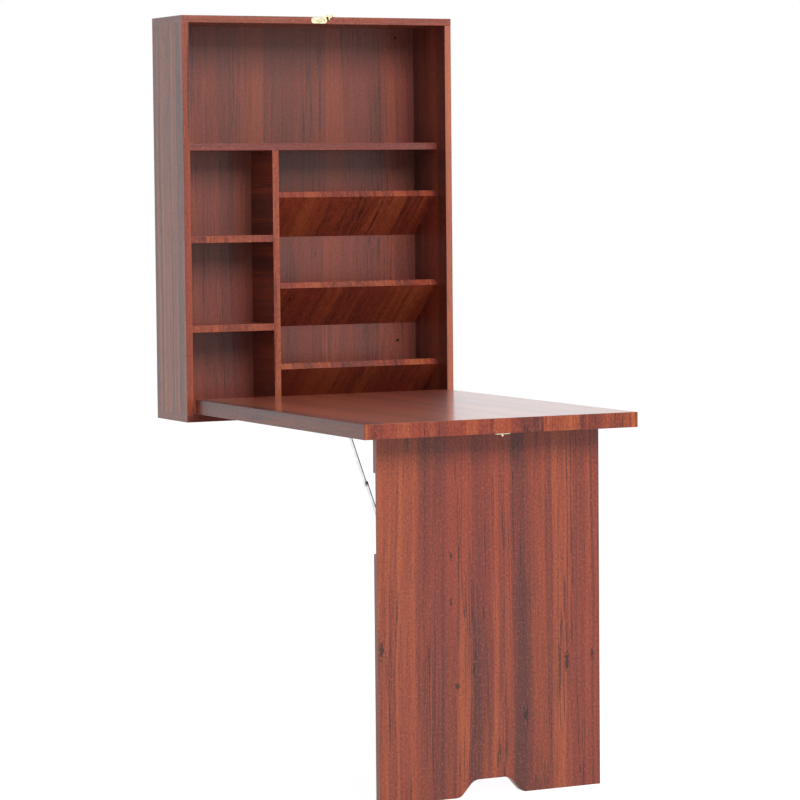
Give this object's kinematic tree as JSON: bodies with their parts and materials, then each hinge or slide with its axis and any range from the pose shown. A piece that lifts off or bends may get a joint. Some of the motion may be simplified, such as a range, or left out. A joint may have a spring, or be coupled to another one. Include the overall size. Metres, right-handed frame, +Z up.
{
  "type": "fold-down wall desk",
  "caption": "Wall cabinet with shelves and sloping magazine pockets whose front folds down as a desk on a folding panel leg with locking stays.",
  "frame": {"origin": "middle of the four wall screw holes, on the wall plane at the back of the cabinet", "axes": "+X to the right as a person faces the desk, +Y into the wall, +Z up"},
  "size_m": [0.63, 0.9851, 1.5494],
  "materials": {
    "mahogany_laminate": "satin laminate with straight grain",
    "back_board": "satin laminate with straight grain",
    "dowel_wood": "raw",
    "stay_steel": "bright zinc plated",
    "hinge_steel": "zinc plated",
    "screw_zinc": "zinc plated",
    "pale_brass": "polished"
  },
  "bodies": {
    "cabinet": {"top_panel": "mahogany_laminate", "bottom_panel": "mahogany_laminate", "left_side_panel": "mahogany_laminate", "right_side_panel": "mahogany_laminate", "back_panel": "back_board", "upper_shelf": "mahogany_laminate", "divider": "mahogany_laminate", "cubby_shelf_high": "mahogany_laminate", "cubby_shelf_low": "mahogany_laminate", "magazine_board_high": "mahogany_laminate", "magazine_board_middle": "mahogany_laminate", "magazine_board_low": "mahogany_laminate", "carcass_dowels": "dowel_wood", "carcass_screws": "screw_zinc", "back_panel_screws": "screw_zinc", "desk_hinge_left_fixed_leaf": "hinge_steel", "desk_hinge_centre_fixed_leaf": "hinge_steel", "desk_hinge_right_fixed_leaf": "hinge_steel", "desk_hinge_pins": "hinge_steel", "desk_hinge_cabinet_screws": "screw_zinc", "latch_plate": "pale_brass", "latch_rivet": "pale_brass", "latch_screws": "pale_brass"},
    "hook": {"latch_hook": "pale_brass"},
    "desk": {"desk_panel": "mahogany_laminate", "desk_hinge_left_moving_leaf": "hinge_steel", "desk_hinge_centre_moving_leaf": "hinge_steel", "desk_hinge_right_moving_leaf": "hinge_steel", "desk_hinge_desk_screws": "screw_zinc", "leg_hinge_left_desk_leaf": "hinge_steel", "leg_hinge_right_desk_leaf": "hinge_steel", "leg_hinge_pins": "hinge_steel", "leg_hinge_desk_screws": "screw_zinc", "stay_left_desk_bracket": "stay_steel", "stay_right_desk_bracket": "stay_steel", "stay_desk_screws": "screw_zinc", "stay_desk_rivets": "stay_steel", "keeper_plate": "pale_brass", "keeper_stud": "pale_brass", "keeper_screws": "pale_brass"},
    "leg": {"leg_panel": "mahogany_laminate", "leg_hinge_left_leg_leaf": "hinge_steel", "leg_hinge_right_leg_leaf": "hinge_steel", "leg_hinge_leg_screws": "screw_zinc", "stay_left_leg_bracket": "stay_steel", "stay_right_leg_bracket": "stay_steel", "stay_leg_screws": "screw_zinc", "stay_leg_rivets": "stay_steel"},
    "stay_left_upper": {"stay_left_upper_link": "stay_steel", "stay_left_elbow_rivet": "stay_steel"},
    "stay_left_lower": {"stay_left_lower_link": "stay_steel"},
    "stay_right_upper": {"stay_right_upper_link": "stay_steel", "stay_right_elbow_rivet": "stay_steel"},
    "stay_right_lower": {"stay_right_lower_link": "stay_steel"}
  },
  "joints": [
    {"name": "desk_fold", "type": "hinge", "parent": "cabinet", "child": "desk", "pos_m": [0, -0.1678, -0.46675], "axis": [-1, 0, 0], "range_deg": [0, 90]},
    {"name": "leg_fold", "type": "hinge", "parent": "desk", "child": "leg", "pos_m": [0, -0.90625, -0.46825], "axis": [1, 0, 0], "range_deg": [0, 90]},
    {"name": "latch_swing", "type": "hinge", "parent": "cabinet", "child": "hook", "pos_m": [0, -0.169, 0.361], "axis": [0, 1, 0], "range_deg": [0, 107]},
    {"name": "stay_left_upper_turn", "type": "hinge", "parent": "desk", "child": "stay_left_upper", "pos_m": [-0.2396, -0.80025, -0.47295], "axis": [1, 0, 0], "range_deg": [0, 128.2]},
    {"name": "stay_left_lower_turn", "type": "hinge", "parent": "leg", "child": "stay_left_lower", "pos_m": [-0.2373, -0.91095, -0.61425], "axis": [-1, 0, 0], "range_deg": [0, 142.1]},
    {"name": "stay_right_upper_turn", "type": "hinge", "parent": "desk", "child": "stay_right_upper", "pos_m": [0.2396, -0.80025, -0.47295], "axis": [1, 0, 0], "range_deg": [0, 128.2]},
    {"name": "stay_right_lower_turn", "type": "hinge", "parent": "leg", "child": "stay_right_lower", "pos_m": [0.2373, -0.91095, -0.61425], "axis": [-1, 0, 0], "range_deg": [0, 142.1]}
  ],
  "couplings": [
    {"joint": "stay_left_upper_turn", "follows": "leg_fold", "ratio": 1.4231},
    {"joint": "stay_left_lower_turn", "follows": "leg_fold", "ratio": 1.5769},
    {"joint": "stay_right_upper_turn", "follows": "leg_fold", "ratio": 1.4231},
    {"joint": "stay_right_lower_turn", "follows": "leg_fold", "ratio": 1.5769}
  ]
}
